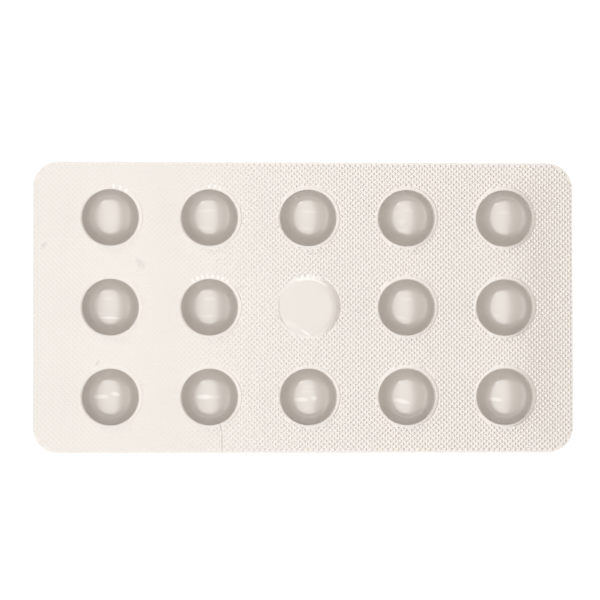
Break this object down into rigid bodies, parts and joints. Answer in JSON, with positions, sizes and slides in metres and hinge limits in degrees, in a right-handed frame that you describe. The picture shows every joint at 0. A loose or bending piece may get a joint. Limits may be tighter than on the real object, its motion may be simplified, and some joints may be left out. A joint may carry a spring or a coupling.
{
  "type": "pill blister pack",
  "caption": "Flat rounded card of knurled white film with rows of round domed pockets for tablets, sealed with foil underneath.",
  "frame": {"origin": "middle of the card's foil underside", "axes": "+X along the card's long side, towards the end with the narrower margin; +Z out of the card on the pocket side"},
  "size_m": [0.0944, 0.0506, 0.0038],
  "materials": {
    "film": "opaque warm white formed film, satin, knurled between the pockets",
    "foil": "bare push-through foil, satin, with the print of the knurled sealing tool"
  },
  "bodies": {
    "root": {"blister_pack": "film"}
  },
  "joints": []
}
